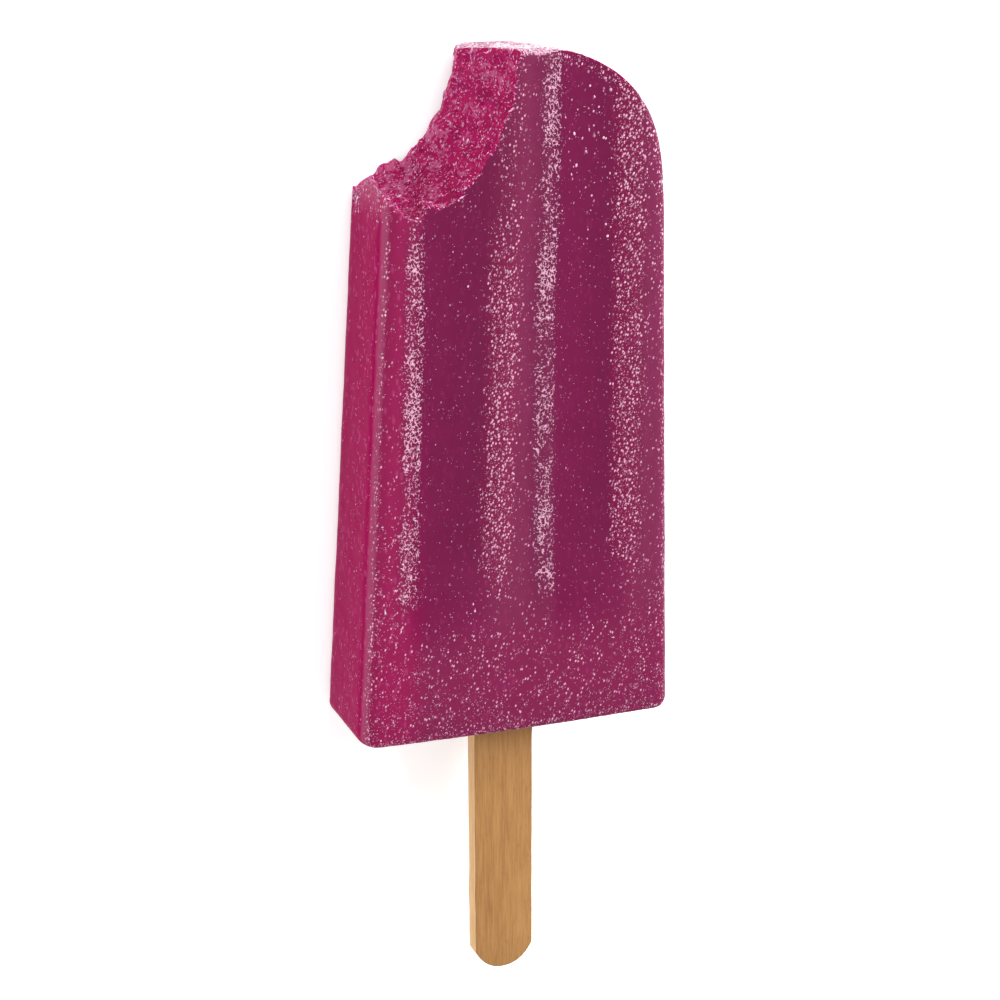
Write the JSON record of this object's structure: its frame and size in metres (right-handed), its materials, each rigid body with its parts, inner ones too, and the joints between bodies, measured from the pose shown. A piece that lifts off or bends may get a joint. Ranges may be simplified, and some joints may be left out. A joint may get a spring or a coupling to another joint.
{
  "type": "ice pop",
  "caption": "Fluted berry ice pop on a flat wooden stick, with a bite out of one top corner, lying on its back.",
  "frame": {"origin": "under the middle of the whole pop, on the surface that it lies on", "axes": "+Z out of the shown front face, +Y from the stick towards the rounded top, +X to the right of the front face"},
  "size_m": [0.0512, 0.1468, 0.0189],
  "materials": {
    "ice": "frozen fruit ice, translucent, with frost on the raised edges",
    "wood": "bare birch, cut and tumbled smooth"
  },
  "bodies": {
    "root": {"ice": "ice", "stick": "wood"}
  },
  "joints": []
}
